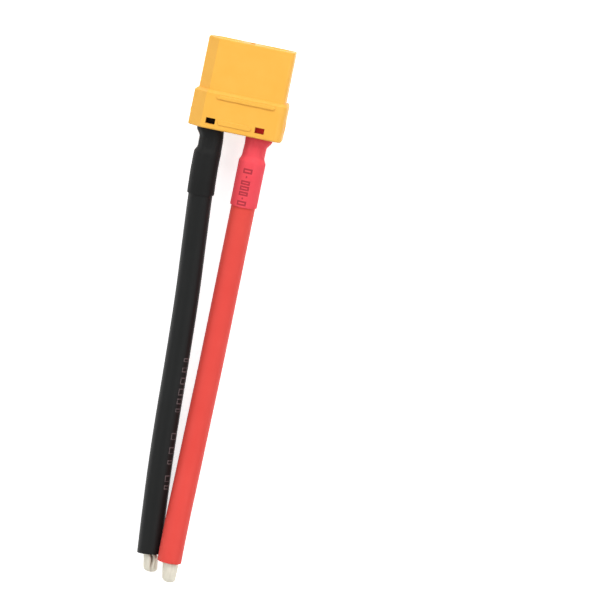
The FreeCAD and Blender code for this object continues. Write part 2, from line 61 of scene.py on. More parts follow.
def add(tree, kind, inputs=None, **settings):
    """Adds a node. An input is given a constant, or is linked from another node's socket."""
    made = tree.nodes.new(kind)
    for name, value in settings.items():
        setattr(made, name, value)
    for name, value in (inputs or {}).items():
        if isinstance(value, bpy.types.NodeSocket):
            tree.links.new(value, made.inputs[name])
        else:
            made.inputs[name].default_value = value
    return made


def new_finish(name, **constants):
    """A material with one Principled surface, and that surface's node."""
    finish = bpy.data.materials.new(name)
    finish.use_nodes = True
    surface = finish.node_tree.nodes["Principled BSDF"]
    for socket, value in constants.items():
        surface.inputs[socket.replace("_", " ")].default_value = value
    return finish, finish.node_tree, surface


def moulded_nylon():
    """Satin yellow nylon: even colour with a faint cloud in it, a grain of about 0.12 mm
    from the eroded mould, and edges that are softened by 0.12 mm."""
    finish, tree, surface = new_finish(
        "moulded_nylon_satin_yellow", IOR=1.53, Specular_IOR_Level=0.35)
    place = add(tree, "ShaderNodeTexCoord").outputs["Object"]
    cloud = add(tree, "ShaderNodeTexNoise", {
        "Vector": place, "Scale": 1 / (5 * MM), "Detail": 3.0, "Roughness": 0.55})
    colour = add(tree, "ShaderNodeMix", {
        "Factor": cloud.outputs["Fac"], 6: linear("#f2b13f"), 7: linear("#f9bc4e"),
    }, data_type="RGBA")
    tree.links.new(colour.outputs[2], surface.inputs["Base Color"])
    # The eroded grain shows as a slight change of gloss and of slope.
    grain = add(tree, "ShaderNodeTexNoise", {
        "Vector": place, "Scale": 1 / (0.24 * MM), "Detail": 2.0, "Roughness": 0.6})
    gloss = add(tree, "ShaderNodeMapRange", {
        "Value": grain.outputs["Fac"], "From Min": 0.3, "From Max": 0.7,
        "To Min": 0.4, "To Max": 0.52})
    tree.links.new(gloss.outputs["Result"], surface.inputs["Roughness"])
    soft_edge = add(tree, "ShaderNodeBevel", {"Radius": 0.12 * MM}, samples=6)
    bump = add(tree, "ShaderNodeBump", {
        "Height": grain.outputs["Fac"], "Strength": 0.12, "Distance": 0.02 * MM,
        "Normal": soft_edge.outputs["Normal"]})
    tree.links.new(bump.outputs["Normal"], surface.inputs["Normal"])
    return finish


nylon = moulded_nylon()
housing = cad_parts["housing"]
housing.data.materials.clear()
housing.data.materials.append(nylon)


# Polarity signs
# A plus on the housing's rounded narrow side and a minus on its keyed one, raised in the
# same moulding. They stand 0.15 mm proud, with the soft edges of engraved mould steel.

SIGN_SPAN = 2.6 * MM
SIGN_STROKE = 0.8 * MM
SIGN_HEIGHT = 0.15 * MM
SIGN_SUNK = 0.15 * MM
SIGN_ROUND = 0.07 * MM
SIGN_PLACE = -0.9 * MM
# Both poles' axes lie this high, and the signs are level with them.
AXIS_HEIGHT = 5.3 * MM


def raised_sign(name, side, across_only):
    """A sign whose outline stands on one narrow side, its strokes along Z and along Y."""
    arm, half = SIGN_SPAN / 2, SIGN_STROKE / 2
    if across_only:
        outline = [(-half, -arm), (half, -arm), (half, arm), (-half, arm)]
    else:
        outline = [(-half, -arm), (half, -arm), (half, -half), (arm, -half), (arm, half),
                   (half, half), (half, arm), (-half, arm), (-half, half), (-arm, half),
                   (-arm, -half), (-half, -half)]
    low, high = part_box("housing")
    wall = high.x if side > 0 else low.x
    made = bmesh.new()
    root = wall - side * SIGN_SUNK
    corners = [made.verts.new((root, SIGN_PLACE + y, AXIS_HEIGHT + z)) for y, z in outline]
    face = made.faces.new(corners)
    top = bmesh.ops.extrude_face_region(made, geom=[face])["geom"]
    raised = [v for v in top if isinstance(v, bmesh.types.BMVert)]
    bmesh.ops.translate(made, verts=raised, vec=(side * (SIGN_SUNK + SIGN_HEIGHT), 0, 0))
    bmesh.ops.recalc_face_normals(made, faces=made.faces)
    bmesh.ops.bevel(
        made, geom=made.edges[:], offset=SIGN_ROUND, segments=3, affect="EDGES", profile=0.5)
    mesh = bpy.data.meshes.new(name)
    made.to_mesh(mesh)
    made.free()
    mesh.shade_smooth()
    sign = bpy.data.objects.new(name, mesh)
    bpy.context.collection.objects.link(sign)
    mesh.materials.append(nylon)
    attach(sign, "root")


raised_sign("plus_sign", 1, False)
raised_sign("minus_sign", -1, True)


# Sockets
# Turned brass, plated with nickel and a thin flash of gold. The tool leaves fine rings
# round the bore and the barbs, and the plating is bright where nothing has touched it.

# On which side of the middle each pole lies, along X.
POLES = {"negative": -1, "positive": 1}


def gilded_brass():
    """Gold over turned brass: rings 0.09 mm apart, a little duller in the grooves."""
    finish, tree, surface = new_finish("turned_brass_gold_flashed", Metallic=1.0)
    place = add(tree, "ShaderNodeTexCoord").outputs["Object"]
    # At a scale of 1 the wave's bands are tau / 20 apart.
    rings = add(tree, "ShaderNodeTexWave", {
        "Vector": place, "Scale": math.tau / 20 / (0.09 * MM), "Distortion": 0.6,
        "Detail": 2.0, "Detail Scale": 2.0,
    }, wave_type="BANDS", bands_direction="Y")
    tarnish = add(tree, "ShaderNodeTexNoise", {
        "Vector": place, "Scale": 1 / (1.4 * MM), "Detail": 4.0})
    colour = add(tree, "ShaderNodeMix", {
        "Factor": tarnish.outputs["Fac"], 6: linear("#d9a441"), 7: linear("#f0c66a"),
    }, data_type="RGBA")
    tree.links.new(colour.outputs[2], surface.inputs["Base Color"])
    gloss = add(tree, "ShaderNodeMapRange", {
        "Value": rings.outputs["Fac"], "To Min": 0.3, "To Max": 0.2})
    tree.links.new(gloss.outputs["Result"], surface.inputs["Roughness"])
    bump = add(tree, "ShaderNodeBump", {
        "Height": rings.outputs["Fac"], "Strength": 0.25, "Distance": 0.01 * MM})
    tree.links.new(bump.outputs["Normal"], surface.inputs["Normal"])
    return finish


gilding = gilded_brass()
for pole in POLES:
    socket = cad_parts[pole + "_socket"]
    socket.data.materials.clear()
    socket.data.materials.append(gilding)


# Solder joints
# Tin solder that fills each socket's cup round the wire's strands, and runs back along them
# under the sleeve. It froze there as a smooth neck.

def frozen_solder():
    """Tin solder that froze in the air: bright, with a slightly puckered, duller skin."""
    finish, tree, surface = new_finish("tin_solder_frozen", Metallic=1.0)
    place = add(tree, "ShaderNodeTexCoord").outputs["Object"]
    skin = add(tree, "ShaderNodeTexNoise", {
        "Vector": place, "Scale": 1 / (0.7 * MM), "Detail": 5.0, "Roughness": 0.6})
    colour = add(tree, "ShaderNodeMix", {
        "Factor": skin.outputs["Fac"], 6: linear("#cfcabd"), 7: linear("#f3f0e8"),
    }, data_type="RGBA")
    tree.links.new(colour.outputs[2], surface.inputs["Base Color"])
    gloss = add(tree, "ShaderNodeMapRange", {
        "Value": skin.outputs["Fac"], "To Min": 0.2, "To Max": 0.42})
    tree.links.new(gloss.outputs["Result"], surface.inputs["Roughness"])
    bump = add(tree, "ShaderNodeBump", {
        "Height": skin.outputs["Fac"], "Strength": 0.3, "Distance": 0.06 * MM})
    tree.links.new(bump.outputs["Normal"], surface.inputs["Normal"])
    return finish


solder = frozen_solder()
for pole in POLES:
    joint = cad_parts[pole + "_solder"]
    joint.data.materials.clear()
    joint.data.materials.append(solder)


# Wire insulation
# Silicone rubber extruded round the strands, black for the negative wire and red for the
# positive one. It is limp and satin, its cut ends show its wall, and the black one has a
# faint grey print along the side that faces the red one.

INSULATION_RADIUS = 2.7 * MM
STRANDS_RADIUS = 1.7 * MM
BORE_CLEARANCE = 0.03 * MM
WIRE_END_ROUND = 0.12 * MM
# How far apart the wire's rings are, and how many corners each has.
WIRE_STEP = 0.8 * MM
WIRE_AROUND = 56
# The same route points as the frame's, in millimetres, from inside each solder cup to the
# wire's cut end.
ROUTES = {
    "negative": (
        (-5.40, -1.60, 5.300), (-5.04, -5.60, 5.300), (-5.15, -13.20, 5.274),
        (-4.75, -20.40, 4.676), (-4.11, -30.15, 3.584), (-3.25, -42.05, 2.882),
        (-2.60, -56.85, 2.700), (-2.09, -72.15, 2.700), (-1.25, -86.85, 2.700),
        (-0.12, -100.25, 2.700),
    ),
    "positive": (
        (5.40, -1.60, 5.300), (5.03, -5.60, 5.300), (5.02, -13.20, 5.274),
        (5.02, -20.40, 4.702), (4.98, -30.55, 3.584), (4.98, -42.75, 2.882),
        (4.96, -57.65, 2.700), (4.82, -70.25, 2.700), (4.76, -82.25, 3.480),
        (4.65, -92.85, 4.780), (4.78, -100.85, 5.170),
    ),
}


def route_curve(pole):
    """The wire's centre line: one smooth open spline with the route's points to steer it."""
    curve = bpy.data.curves.new(pole + "_route", "CURVE")
    curve.dimensions = "3D"
    spline = curve.splines.new("NURBS")
    points = ROUTES[pole]
    spline.points.add(len(points) - 1)
    for point, place in zip(spline.points, points):
        point.co = [c * MM for c in place] + [1]
    spline.order_u = 3
    spline.use_endpoint_u = True
    spline.resolution_u = 32
    line = bpy.data.objects.new(pole + "_route", curve)
    bpy.context.collection.objects.link(line)
    return line


def route_points(line):
    """The points of the spline itself, from the cup to the cut end."""
    mesh = bpy.data.meshes.new_from_object(line)
    points = [v.co.copy() for v in mesh.vertices]
    bpy.data.meshes.remove(mesh)
    return points if points[0].y > points[-1].y else points[::-1]


def length_to(points, y):
    """How far along the line it passes a place along Y."""
    run = 0.0
    for here, there in zip(points, points[1:]):
        step = (there - here).length
        if there.y <= y:
            return run + step * (here.y - y) / (here.y - there.y)
        run += step
    return run


def smooth(share):
    """A step from 0 to 1 that starts and ends level."""
    share = min(1.0, max(0.0, share))
    return share * share * (3 - 2 * share)


def lay_along_route():
    """The node tree that lays a straight piece along a wire's route. The piece is modelled
    with its length along Y. At its cup end it can stand off the route by a given shift."""
    tree = bpy.data.node_groups.new("lay_along_route", "GeometryNodeTree")
    for name, kind in (("Piece", "Geometry"), ("Route", "Object"), ("Cup Shift", "Vector"),
                       ("Shift From", "Float"), ("Shift To", "Float"), ("Finish", "Material")):
        tree.interface.new_socket(name, in_out="INPUT", socket_type="NodeSocket" + kind)
    tree.interface.new_socket("Laid Piece", in_out="OUTPUT", socket_type="NodeSocketGeometry")
    given = add(tree, "NodeGroupInput").outputs
    route = add(tree, "GeometryNodeObjectInfo", {"Object": given["Route"]})
    place = add(tree, "ShaderNodeSeparateXYZ", {
        "Vector": add(tree, "GeometryNodeInputPosition").outputs[0]})
    at = add(tree, "GeometryNodeSampleCurve", {
        "Curves": route.outputs["Geometry"], "Length": place.outputs["Y"],
    }, mode="LENGTH", use_all_curves=True)

    def vector(operation, first, second, second_name=1):
        return add(tree, "ShaderNodeVectorMath", {0: first, second_name: second},
                   operation=operation).outputs["Vector"]

    sideways = vector("NORMALIZE", vector("CROSS_PRODUCT", at.outputs["Tangent"], (0, 0, 1)),
                      (0, 0, 0))
    upwards = vector("CROSS_PRODUCT", sideways, at.outputs["Tangent"])
    laid = vector("ADD", at.outputs["Position"],
                  vector("SCALE", sideways, place.outputs["X"], "Scale"))
    laid = vector("ADD", laid, vector("SCALE", upwards, place.outputs["Z"], "Scale"))
    # What reaches past the route's end goes straight on.
    reach = add(tree, "GeometryNodeCurveLength", {"Curve": route.outputs["Geometry"]})
    past = add(tree, "ShaderNodeMath", {
        0: place.outputs["Y"], 1: reach.outputs["Length"]}, operation="SUBTRACT")
    past = add(tree, "ShaderNodeMath", {0: past.outputs[0], 1: 0.0}, operation="MAXIMUM")
    laid = vector("ADD", laid, vector("SCALE", at.outputs["Tangent"], past.outputs[0], "Scale"))
    share = add(tree, "ShaderNodeMapRange", {
        "Value": place.outputs["Y"], "From Min": given["Shift From"],
        "From Max": given["Shift To"], "To Min": 1.0, "To Max": 0.0,
    }, interpolation_type="SMOOTHSTEP")
    laid = vector("ADD", laid,
                  vector("SCALE", given["Cup Shift"], share.outputs["Result"], "Scale"))
    moved = add(tree, "GeometryNodeSetPosition", {"Geometry": given["Piece"], "Position": laid})
    real = add(tree, "GeometryNodeRealizeInstances", {"Geometry": moved.outputs[0]})
    coated = add(tree, "GeometryNodeSetMaterial", {
        "Geometry": real.outputs[0], "Material": given["Finish"]})
    add(tree, "NodeGroupOutput", {"Laid Piece": coated.outputs[0]})
    return tree


laying = lay_along_route()


def laid_piece(name, straight, pole, finish, shift=(0, 0, 0), shift_from=0.0, shift_to=1.0):
    """Lays a straight mesh along a pole's route and keeps the result as a plain mesh."""
    piece = bpy.data.objects.new(name, straight)
    bpy.context.collection.objects.link(piece)
    step = piece.modifiers.new("along_route", "NODES")
    step.node_group = laying
    sockets = {s.name: s.identifier for s in laying.interface.items_tree if s.in_out == "INPUT"}
    step[sockets["Route"]] = lines[pole]
    step[sockets["Cup Shift"]] = shift
    step[sockets["Shift From"]] = shift_from
    step[sockets["Shift To"]] = shift_to
    step[sockets["Finish"]] = finish
    ready = piece.evaluated_get(bpy.context.evaluated_depsgraph_get())
    mesh = bpy.data.meshes.new_from_object(ready)
    mesh.name = name
    piece.modifiers.remove(step)
    piece.data = mesh
    mesh.shade_smooth()
    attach(piece, "root")
    return piece


def turned_tube(name, section, around, radius_at=None):
    """A tube round the Y axis from a closed section of (along, radius) pairs. Its UV map
    holds millimetres: how far round from the top line, and how far along. The map's seam
    runs along the bottom."""
    made = bmesh.new()
    rings = []
    for along, radius in section:
        ring = []
        for k in range(around):
            turn = 2 * math.pi * k / around
            r = radius_at(along, radius, turn) if radius_at else radius
            ring.append(made.verts.new((r * math.sin(turn), along, r * math.cos(turn))))
        rings.append(ring)
    measure = made.loops.layers.uv.new("millimetres")
    for i, ring in enumerate(rings):
        after = rings[(i + 1) % len(rings)]
        for k in range(around):
            corners = (ring[k], ring[(k + 1) % around], after[(k + 1) % around], after[k])
            face = made.faces.new(corners)
            for loop, (step, spot) in zip(face.loops, ((0, i), (1, i), (1, i + 1), (0, i + 1))):
                along, radius = section[spot % len(section)]
                turn = 2 * math.pi * (k + step) / around
                girth = turn - 2 * math.pi if k >= around / 2 else turn
                loop[measure].uv = (girth * radius / MM, along / MM)
    bmesh.ops.recalc_face_normals(made, faces=made.faces)
    mesh = bpy.data.meshes.new(name)
    made.to_mesh(mesh)
    made.free()
    return mesh


def tube_section(outer, bore, start, end, step, rounding):
    """A straight tube's section: out along its outside, rounded at both cuts, and back."""
    facets = 4
    quarter = [math.pi / 2 * k / facets for k in range(facets + 1)]
    section = []
    for angle in quarter:
        section.append((start + rounding * (1 - math.sin(angle)),
                        outer - rounding * (1 - math.cos(angle))))
    section = section[::-1]
    count = max(2, round((end - start) / step))
    for k in range(1, count):
        section.append((start + (end - start) * k / count, outer))
    for angle in quarter[::-1]:
        section.append((end - rounding * (1 - math.cos(angle)),
                        outer - rounding * (1 - math.sin(angle))))
    section += [(end, bore), ((start + end) / 2, bore), (start, bore)]
    return section


def printed_boxes(tree, measure, side, start, end, stroke, boxes):
    """How much ink lies at a place: a row of plain hollow boxes between two distances along
    the piece, about a line this far round from its top. Each box is given by where it starts,
    how long it is and half its height, all in millimetres."""
    spot = add(tree, "ShaderNodeSeparateXYZ", {"Vector": measure})
    along = add(tree, "ShaderNodeMapRange", {
        "Value": spot.outputs["Y"], "From Min": start, "From Max": end})
    off = add(tree, "ShaderNodeMath", {0: spot.outputs["X"], 1: side}, operation="SUBTRACT")
    off = add(tree, "ShaderNodeMath", {0: off.outputs[0]}, operation="ABSOLUTE")
    # What fills a box's outline, less what fills its inside. The ink's edge fades in 0.06 mm.
    filled = []
    for inset in (0.0, stroke):
        # The ramp holds the half height along the row, so tall and low boxes share it.
        row = add(tree, "ShaderNodeValToRGB", {"Fac": along.outputs["Result"]})
        row.color_ramp.interpolation = "CONSTANT"
        stops = row.color_ramp.elements
        stops[0].position, stops[0].color = 0.0, (0, 0, 0, 1)
        stops[1].position, stops[1].color = 0.999, (0, 0, 0, 1)
        for place, length, tall in boxes:
            if min(length / 2, tall) > inset:
                inner = (tall - inset) / 2
                stops.new((place + inset) / (end - start)).color = (inner, inner, inner, 1)
                stops.new((place + length - inset) / (end - start)).color = (0, 0, 0, 1)
        high = add(tree, "ShaderNodeMath", {0: row.outputs["Color"], 1: 2.0}, operation="MULTIPLY")
        room = add(tree, "ShaderNodeMath", {
            0: high.outputs[0], 1: off.outputs[0]}, operation="SUBTRACT")
        filled.append(add(tree, "ShaderNodeMapRange", {
            "Value": room.outputs[0], "From Min": 0.0, "From Max": 0.06}).outputs["Result"])
    return add(tree, "ShaderNodeMath", {
        0: filled[0], 1: filled[1]}, operation="SUBTRACT", use_clamp=True).outputs[0]


# Two groups of boxes along the black wire, high on its side that faces the red one.
WIRE_PRINT = {
    "side": -2.6, "start": 53.8, "end": 84.2, "stroke": 0.22,
    "boxes": (
        (0.4, 0.9, 0.9), (2.5, 1.1, 0.9), (4.8, 1.5, 0.9), (7.3, 1.5, 0.9), (9.6, 1.3, 0.9),
        (11.8, 0.9, 0.9), (17.4, 1.6, 0.9), (20.6, 1.6, 0.9), (23.6, 0.9, 0.9),
        (27.0, 1.5, 0.9), (29.3, 0.9, 0.9),
    ),
}


def silicone(name, base, light, ink=None):
    """Extruded silicone rubber: satin, with a soft sheen and fine drawing lines along the
    wire. If it is printed, worn ink lies in boxes 1.8 mm high that read its UV map."""
    finish, tree, surface = new_finish(
        name, IOR=1.41, Specular_IOR_Level=0.2, Sheen_Weight=0.03, Sheen_Roughness=0.5)
    place = add(tree, "ShaderNodeTexCoord")
    bloom = add(tree, "ShaderNodeTexNoise", {
        "Vector": place.outputs["Object"], "Scale": 1 / (9 * MM), "Detail": 4.0})
    colour = add(tree, "ShaderNodeMix", {
        "Factor": bloom.outputs["Fac"], 6: linear(base), 7: linear(light),
    }, data_type="RGBA").outputs[2]
    if ink:
        marks = printed_boxes(tree, place.outputs["UV"], **WIRE_PRINT)
        wear = add(tree, "ShaderNodeTexNoise", {
            "Vector": place.outputs["UV"], "Scale": 2.2, "Detail": 3.0})
        left = add(tree, "ShaderNodeMapRange", {
            "Value": wear.outputs["Fac"], "From Min": 0.36, "From Max": 0.52,
            "To Min": 0.2, "To Max": 0.7})
        share = add(tree, "ShaderNodeMath", {
            0: marks, 1: left.outputs["Result"]}, operation="MULTIPLY")
        colour = add(tree, "ShaderNodeMix", {
            "Factor": share.outputs[0], 6: colour, 7: linear(ink)}, data_type="RGBA").outputs[2]
    tree.links.new(colour, surface.inputs["Base Color"])
    # The lines are 0.25 mm wide and 4 mm long, coarser than real ones, so that they show.
    drawn = add(tree, "ShaderNodeMapping", {
        "Vector": place.outputs["UV"], "Scale": (4.0, 0.25, 1.0)})
    lines_along = add(tree, "ShaderNodeTexNoise", {
        "Vector": drawn.outputs["Vector"], "Scale": 1.0, "Detail": 3.0})
    gloss = add(tree, "ShaderNodeMapRange", {
        "Value": lines_along.outputs["Fac"], "From Min": 0.3, "From Max": 0.7,
        "To Min": 0.4, "To Max": 0.52})
    tree.links.new(gloss.outputs["Result"], surface.inputs["Roughness"])
    bump = add(tree, "ShaderNodeBump", {
        "Height": lines_along.outputs["Fac"], "Strength": 0.1, "Distance": 0.03 * MM})
    tree.links.new(bump.outputs["Normal"], surface.inputs["Normal"])
    return finish


lines = {pole: route_curve(pole) for pole in ROUTES}
centres = {pole: route_points(line) for pole, line in lines.items()}
route_lengths = {
    pole: sum((there - here).length for here, there in zip(points, points[1:]))
    for pole, points in centres.items()
}
rubber = {
    "negative": silicone("silicone_rubber_black", "#151616", "#1d1e1e", "#766a6b"),
    "positive": silicone("silicone_rubber_red", "#e3473f", "#ed554c"),
}
# Where it starts under the sleeve, as a place along Y. From there it runs to the cut end.
INSULATION_START = -9.91 * MM
# Both were cut a little askew, the black wire longer on its outer side and the red one on
# top. How far the cut leans out over the radius, sideways and upwards, and how far back
# from it the rings lean too.
CUT_ASKEW = {"negative": (0.12 * MM, 0.0), "positive": (0.0, 0.28 * MM)}
ASKEW_LENGTH = 3 * MM
for pole in POLES:
    start = length_to(centres[pole], INSULATION_START)
    cut = route_lengths[pole]
    section = tube_section(
        INSULATION_RADIUS, STRANDS_RADIUS + BORE_CLEARANCE, start, cut, WIRE_STEP,
        WIRE_END_ROUND)
    straight = turned_tube(pole + "_wire", section, WIRE_AROUND)
    for corner in straight.vertices:
        near_cut = smooth((corner.co.y - cut + ASKEW_LENGTH) / ASKEW_LENGTH)
        sideways, upwards = CUT_ASKEW[pole]
        lean = (sideways * corner.co.x + upwards * corner.co.z) / INSULATION_RADIUS
        corner.co.y += lean * near_cut
    laid_piece(pole + "_wire", straight, pole, rubber[pole])
    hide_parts(pole + "_insulation")


# Wire strands
# Fine copper strands, each tinned, laid together into one round core. It fills the
# insulation from inside the cup to the cut, where the dipped end goes on from it.

def tinned_copper():
    """Tin over copper strands: pale and slightly warm, brighter on the crowns."""
    finish, tree, surface = new_finish("tinned_copper_strand", Metallic=1.0)
    place = add(tree, "ShaderNodeTexCoord").outputs["Object"]
    streak = add(tree, "ShaderNodeMapping", {
        "Vector": place, "Scale": (1.0, 0.12, 1.0)})
    crowns = add(tree, "ShaderNodeTexNoise", {
        "Vector": streak.outputs["Vector"], "Scale": 1 / (0.25 * MM), "Detail": 3.0})
    colour = add(tree, "ShaderNodeMix", {
        "Factor": crowns.outputs["Fac"], 6: linear("#b9b3a4"), 7: linear("#f4f0e6"),
    }, data_type="RGBA")
    tree.links.new(colour.outputs[2], surface.inputs["Base Color"])
    gloss = add(tree, "ShaderNodeMapRange", {
        "Value": crowns.outputs["Fac"], "To Min": 0.42, "To Max": 0.28})
    tree.links.new(gloss.outputs["Result"], surface.inputs["Roughness"])
    bump = add(tree, "ShaderNodeBump", {
        "Height": crowns.outputs["Fac"], "Strength": 0.3, "Distance": 0.03 * MM})
    tree.links.new(bump.outputs["Normal"], surface.inputs["Normal"])
    return finish


CORE_AROUND = 48
CORE_CUTS = 120


def core_rod(name, length):
    """The core, straight, with both ends closed."""
    made = bmesh.new()
    bmesh.ops.create_cone(
        made, cap_ends=True, segments=CORE_AROUND, radius1=STRANDS_RADIUS,
        radius2=STRANDS_RADIUS, depth=length)
    turn = Matrix.Translation((0, length / 2, 0)) @ Matrix.Rotation(math.pi / 2, 4, "X")
    bmesh.ops.transform(made, matrix=turn, verts=made.verts)
    sides = [e for e in made.edges if abs(e.verts[0].co.y - e.verts[1].co.y) > length / 2]
    bmesh.ops.subdivide_edges(made, edges=sides, cuts=CORE_CUTS, use_grid_fill=False)
    mesh = bpy.data.meshes.new(name)
    made.to_mesh(mesh)
    made.free()
    return mesh


tinning = tinned_copper()
for pole in POLES:
    rod = core_rod(pole + "_strand_core", route_lengths[pole])
    laid_piece(pole + "_strand_core", rod, pole, tinning)
    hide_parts(pole + "_strands")


# Heat-shrink sleeves
# Polyolefin tube, cut to length, slid over the soldered joint and shrunk with hot air. It
# grips the cup, draws in on the solder and the strands behind it, and steps up again over
# the insulation. The red one is printed, and its row is drawn as plain boxes.

SLEEVE_ENDS = {"negative": -19.05 * MM, "positive": -19.80 * MM}
# How much thicker the solder under it lies on the side that faces the other wire.
JOINT_BULGE = {"negative": 0.22 * MM, "positive": 0.04 * MM}
# Radii over the cup, over the strands and over the insulation, and the bores inside them.
SLEEVE_OUTSIDE = (3.02 * MM, 2.46 * MM, 3.02 * MM)
SLEEVE_INSIDE = (2.57 * MM, 2.00 * MM, 2.73 * MM)
# Where the tube leaves the cup's rim, is fully drawn in, starts to swell, and lies on the
# insulation, as places along Y.
SLEEVE_STEPS = (-4.6 * MM, -6.45 * MM, -8.55 * MM, -10.0 * MM)
SLEEVE_END_ROUND = 0.08 * MM
SLEEVE_RINGS = 96
SLEEVE_AROUND = 112
# The lumpy stretch over the joint, between two places along Y, and how soon it fades there.
LUMPS_FROM = -4.4 * MM
LUMPS_TO = -11.2 * MM
LUMPS_FADE_IN = 1.6 * MM
LUMPS_FADE_OUT = 2.2 * MM
LUMP_HEIGHT = 0.06 * MM
PLEAT_HEIGHT = 0.05 * MM
UNEVEN_HEIGHT = 0.02 * MM
CREASE_SEEDS = {"negative": 3.7, "positive": 8.1}


def sleeve_radius(y, radii):
    """The tube's radius at a place along Y."""
    over_cup, over_strands, over_wire = radii
    leaves, drawn_in, swells, on_wire = SLEEVE_STEPS
    if y > swells:
        return over_cup + (over_strands - over_cup) * smooth((leaves - y) / (leaves - drawn_in))
    return over_strands + (over_wire - over_strands) * smooth((swells - y) / (swells - on_wire))


def place_at(points, along):
    """The place along Y that the line reaches after a given length."""
    run = 0.0
    for here, there in zip(points, points[1:]):
        step = (there - here).length
        if run + step >= along:
            return here.y + (there.y - here.y) * (along - run) / step
        run += step
    return points[-1].y


def shrunk_tube(name, pole):
    """The sleeve before it is laid along its wire, with the faint lengthwise creases and
    lumps that shrinking leaves over the joint."""
    points = centres[pole]
    last = length_to(points, SLEEVE_ENDS[pole])
    outside, inside = [], []
    for k in range(SLEEVE_RINGS + 1):
        along = last * k / SLEEVE_RINGS
        y = place_at(points, along)
        outside.append((along, sleeve_radius(y, SLEEVE_OUTSIDE)))
        inside.append((along, sleeve_radius(y, SLEEVE_INSIDE)))
    # The tube's far edge is rounded, and its bore needs fewer rings.
    edge = outside[-1][1]
    section = outside[:-1] + [
        (last - SLEEVE_END_ROUND, edge),
        (last - SLEEVE_END_ROUND * 0.3, edge - SLEEVE_END_ROUND * 0.3),
        (last, edge - SLEEVE_END_ROUND),
        (last, inside[-1][1]),
    ] + inside[::-6][1:]
    seed = CREASE_SEEDS[pole]
    leaves, drawn_in, swells, on_wire = SLEEVE_STEPS

    def creased(along, radius, turn):
        # A straight piece has its +X, where sin(turn) is 1, on the negative pole's side.
        y = place_at(points, along)
        on_neck = smooth((leaves - y) / (leaves - drawn_in))
        on_neck *= 1 - smooth((swells - y) / (swells - on_wire))
        bulge = JOINT_BULGE[pole] * on_neck * (1 + POLES[pole] * math.sin(turn))
        # What lies deeper than the rounded edge is the inner skin, which has no creases.
        if radius < sleeve_radius(y, SLEEVE_OUTSIDE) - 1.5 * SLEEVE_END_ROUND:
            return radius + bulge
        on_joint = smooth((LUMPS_FROM - y) / LUMPS_FADE_IN)
        on_joint *= smooth((y - LUMPS_TO) / LUMPS_FADE_OUT)
        across, up = math.sin(turn), math.cos(turn)
        # Lumps are 3.2 mm long, pleats 7 mm and narrow, and the slow unevenness 6 mm.
        lump = noise.noise(Vector((across * 2.2 + seed, along / (3.2 * MM), up * 2.2)))
        pleat = noise.noise(Vector((across * 5.5, along / (7 * MM) + seed, up * 5.5)))
        slow = noise.noise(Vector((across, along / (6 * MM), up + seed)))
        relief = on_joint * (LUMP_HEIGHT * lump + PLEAT_HEIGHT * pleat) + UNEVEN_HEIGHT * slow
        return radius + bulge + relief

    return turned_tube(name, section, SLEEVE_AROUND, creased)


# One row of boxes along the sleeve, with two low dashes between them.
SLEEVE_PRINT = {
    "side": 0.45, "start": 9.4, "end": 18.6, "stroke": 0.36,
    "boxes": (
        (0.25, 1.05, 1.08), (1.85, 0.45, 0.2), (2.85, 0.95, 1.08), (4.05, 0.95, 1.08),
        (5.25, 0.9, 1.08), (6.55, 0.4, 0.2), (7.3, 1.05, 1.08),
    ),
}


def shrink_tubing(name, base, light, ink=None):
    """Matt polyolefin: a fine even tooth, drawn 0.2 mm wide, under a faint cloud of colour.
    If it is printed, dark ink lies in boxes about 2 mm high that read its UV map."""
    finish, tree, surface = new_finish(name, IOR=1.49, Specular_IOR_Level=0.12)
    place = add(tree, "ShaderNodeTexCoord")
    cloud = add(tree, "ShaderNodeTexNoise", {
        "Vector": place.outputs["Object"], "Scale": 1 / (3 * MM), "Detail": 4.0})
    colour = add(tree, "ShaderNodeMix", {
        "Factor": cloud.outputs["Fac"], 6: linear(base), 7: linear(light),
    }, data_type="RGBA").outputs[2]
    if ink:
        marks = printed_boxes(tree, place.outputs["UV"], **SLEEVE_PRINT)
        share = add(tree, "ShaderNodeMath", {0: marks, 1: 0.62}, operation="MULTIPLY")
        colour = add(tree, "ShaderNodeMix", {
            "Factor": share.outputs[0], 6: colour, 7: linear(ink)}, data_type="RGBA").outputs[2]
    tree.links.new(colour, surface.inputs["Base Color"])
    tooth = add(tree, "ShaderNodeTexNoise", {
        "Vector": place.outputs["Object"], "Scale": 1 / (0.22 * MM), "Detail": 2.0})
    gloss = add(tree, "ShaderNodeMapRange", {
        "Value": tooth.outputs["Fac"], "From Min": 0.3, "From Max": 0.7,
        "To Min": 0.46, "To Max": 0.6})
    tree.links.new(gloss.outputs["Result"], surface.inputs["Roughness"])
    bump = add(tree, "ShaderNodeBump", {
        "Height": tooth.outputs["Fac"], "Strength": 0.15, "Distance": 0.02 * MM})
    tree.links.new(bump.outputs["Normal"], surface.inputs["Normal"])
    return finish


tubing = {
    "negative": shrink_tubing("heat_shrink_black_matt", "#171818", "#1e1e1e"),
    "positive": shrink_tubing("heat_shrink_red_matt", "#f04b56", "#f65762", "#7d2430"),
}
# Half the poles' pitch, where the cup's rim is, and where the tube has come over from the
# cup's axis to the wire's own line.
POLE_OFFSET = 5.45 * MM
CUP_RIM = -4.9 * MM
ON_WIRE_LINE = -6.5 * MM
for pole, side in POLES.items():
    points = centres[pole]
    rim = next(p for p in points if p.y <= CUP_RIM)
    shift = Vector((side * POLE_OFFSET - rim.x, 0, AXIS_HEIGHT - rim.z))
    straight = shrunk_tube(pole + "_shrink_sleeve", pole)
    laid_piece(
        pole + "_shrink_sleeve", straight, pole, tubing[pole], shift,
        length_to(points, SLEEVE_STEPS[0]), length_to(points, ON_WIRE_LINE))
    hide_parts(pole + "_sleeve")


